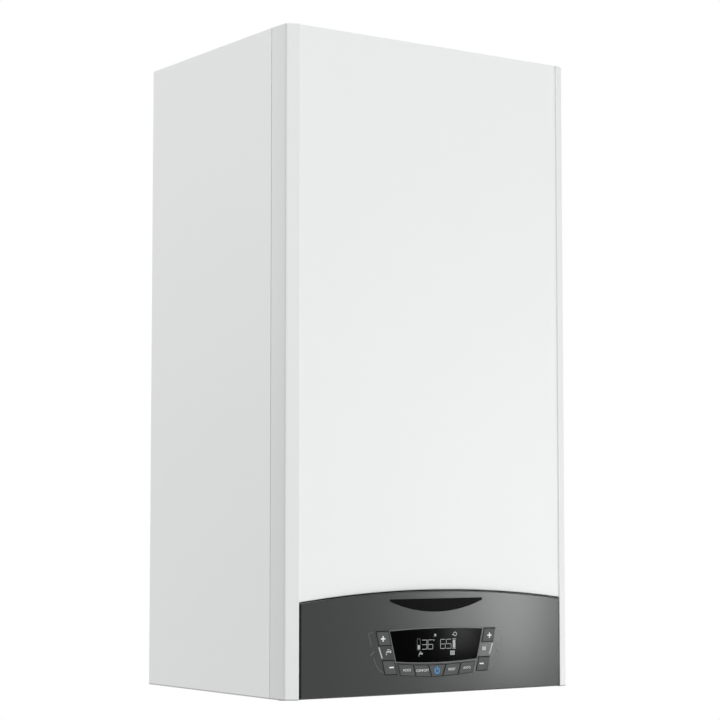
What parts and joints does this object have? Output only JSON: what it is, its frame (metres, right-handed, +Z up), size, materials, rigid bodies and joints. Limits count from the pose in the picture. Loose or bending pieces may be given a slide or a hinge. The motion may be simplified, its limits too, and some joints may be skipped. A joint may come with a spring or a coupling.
{
  "type": "gas boiler",
  "caption": "Wall-hung room-sealed gas boiler with a bevelled sheet cover, arched tilting control fascia, push keys, sealed burner chamber and hydraulics inside.",
  "frame": {"origin": "midway between the two hanging holes, on the wall plane", "axes": "+X to the right seen from the front, +Y into the wall, +Z up"},
  "size_m": [0.4, 0.3194, 0.768],
  "materials": {
    "white_enamel": "semi-gloss powder coat",
    "galvanised_steel": "spangled zinc",
    "graphite_plastic": "satin moulding",
    "black_gloss": "polished",
    "key_plastic": "fine texture",
    "black_plastic": "fine texture",
    "circuit_board": "solder mask",
    "zinc_screw": "bright zinc",
    "foam": "closed-cell foam",
    "sight_glass": "clear",
    "aluminium": "die cast",
    "copper": "lightly oxidised copper",
    "brass": "machined",
    "stainless_steel": "brushed",
    "ceramic_fibre": "felted fibre board",
    "white_ceramic": "glazed",
    "vessel_red": "stove enamel",
    "pump_grey": "cast, painted",
    "cast_black": "cataphoretic black",
    "silicone": "silicone",
    "red_plastic": "moulded",
    "blue_plastic": "moulded",
    "printed_ink": "screen print on the keys and the fascia",
    "lit_display": "lit segments and symbols"
  },
  "bodies": {
    "boiler": {"rear_frame": "galvanised_steel", "left_side_panel": "white_enamel", "right_side_panel": "white_enamel", "bottom_bracket": "galvanised_steel", "air_box": "galvanised_steel", "air_box_lid": "galvanised_steel", "lid_seal": "foam", "lid_screws": "zinc_screw", "sight_glass": "sight_glass", "flue_spigot": "aluminium", "air_inlet_caps": "black_plastic", "burner": "stainless_steel", "combustion_chamber": "stainless_steel", "insulation_boards": "ceramic_fibre", "electrodes": "white_ceramic", "gas_manifold": "aluminium", "heat_exchanger": "copper", "flue_hood": "galvanised_steel", "fan_housing": "aluminium", "fan_motor": "pump_grey", "pressure_switch": "black_plastic", "sensing_hoses": "silicone", "expansion_vessel": "vessel_red", "vessel_pipe": "copper", "water_connections": "brass", "gas_inlet": "brass", "gas_valve": "aluminium", "gas_pipe": "copper", "flow_pipe": "copper", "return_pipe": "copper", "return_block": "brass", "flow_block": "brass", "plate_exchanger": "stainless_steel", "pump_housing": "cast_black", "pump_motor": "pump_grey", "air_vent": "brass", "diverter_motor": "black_plastic", "safety_valve": "brass"},
    "front_cover": {"front_cover": "white_enamel", "cover_screws": "zinc_screw"},
    "control_box": {"fascia": "graphite_plastic", "badge_plate": "black_gloss", "display_window": "black_gloss", "control_box": "black_plastic", "control_board": "circuit_board", "control_box_cover": "black_plastic"},
    "fan_impeller": {"fan_impeller": "stainless_steel"},
    "pump_impeller": {"pump_impeller": "black_plastic"},
    "diverter_spindle": {"diverter_spindle": "stainless_steel"},
    "safety_valve_knob": {"safety_valve_knob": "red_plastic"},
    "filling_knob": {"filling_knob": "blue_plastic"},
    "hot_water_up_key": {"hot_water_up_key": "key_plastic"},
    "hot_water_down_key": {"hot_water_down_key": "key_plastic"},
    "heating_up_key": {"heating_up_key": "key_plastic"},
    "heating_down_key": {"heating_down_key": "key_plastic"},
    "mode_key": {"mode_key": "key_plastic"},
    "comfort_key": {"comfort_key": "key_plastic"},
    "power_key": {"power_key": "key_plastic"},
    "reset_key": {"reset_key": "key_plastic"},
    "auto_key": {"auto_key": "key_plastic"}
  },
  "joints": [
    {"name": "front_cover_pull", "type": "slide", "parent": "boiler", "child": "front_cover", "axis": [0, -1, 0], "range_m": [0, 0.35]},
    {"name": "control_box_tilt", "type": "hinge", "parent": "boiler", "child": "control_box", "pos_m": [0, -0.304, -0.69], "axis": [1, 0, 0], "range_deg": [0, 80]},
    {"name": "hot_water_up_key_press", "type": "slide", "parent": "control_box", "child": "hot_water_up_key", "axis": [0, 1, 0], "range_m": [0, 0.001], "stiffness_N_per_m": 600},
    {"name": "hot_water_down_key_press", "type": "slide", "parent": "control_box", "child": "hot_water_down_key", "axis": [0, 1, 0], "range_m": [0, 0.001], "stiffness_N_per_m": 600},
    {"name": "heating_up_key_press", "type": "slide", "parent": "control_box", "child": "heating_up_key", "axis": [0, 1, 0], "range_m": [0, 0.001], "stiffness_N_per_m": 600},
    {"name": "heating_down_key_press", "type": "slide", "parent": "control_box", "child": "heating_down_key", "axis": [0, 1, 0], "range_m": [0, 0.001], "stiffness_N_per_m": 600},
    {"name": "mode_key_press", "type": "slide", "parent": "control_box", "child": "mode_key", "axis": [0, 1, 0], "range_m": [0, 0.001], "stiffness_N_per_m": 600},
    {"name": "comfort_key_press", "type": "slide", "parent": "control_box", "child": "comfort_key", "axis": [0, 1, 0], "range_m": [0, 0.001], "stiffness_N_per_m": 600},
    {"name": "power_key_press", "type": "slide", "parent": "control_box", "child": "power_key", "axis": [0, 1, 0], "range_m": [0, 0.001], "stiffness_N_per_m": 600},
    {"name": "reset_key_press", "type": "slide", "parent": "control_box", "child": "reset_key", "axis": [0, 1, 0], "range_m": [0, 0.001], "stiffness_N_per_m": 600},
    {"name": "auto_key_press", "type": "slide", "parent": "control_box", "child": "auto_key", "axis": [0, 1, 0], "range_m": [0, 0.001], "stiffness_N_per_m": 600},
    {"name": "fan_spin", "type": "hinge", "parent": "boiler", "child": "fan_impeller", "pos_m": [0.042, -0.1805, -0.055], "axis": [0, 1, 0], "continuous": true},
    {"name": "pump_spin", "type": "hinge", "parent": "boiler", "child": "pump_impeller", "pos_m": [0.115, -0.132, -0.5645], "axis": [0, 1, 0], "continuous": true},
    {"name": "diverter_stroke", "type": "slide", "parent": "boiler", "child": "diverter_spindle", "axis": [0, 1, 0], "range_m": [0, 0.008]},
    {"name": "safety_valve_turn", "type": "hinge", "parent": "boiler", "child": "safety_valve_knob", "pos_m": [0.0975, -0.168, -0.6455], "axis": [0, 1, 0], "range_deg": [0, 90]},
    {"name": "filling_turn", "type": "hinge", "parent": "boiler", "child": "filling_knob", "pos_m": [-0.0975, -0.11, -0.695], "axis": [0, 0, 1], "range_deg": [0, 270]}
  ]
}
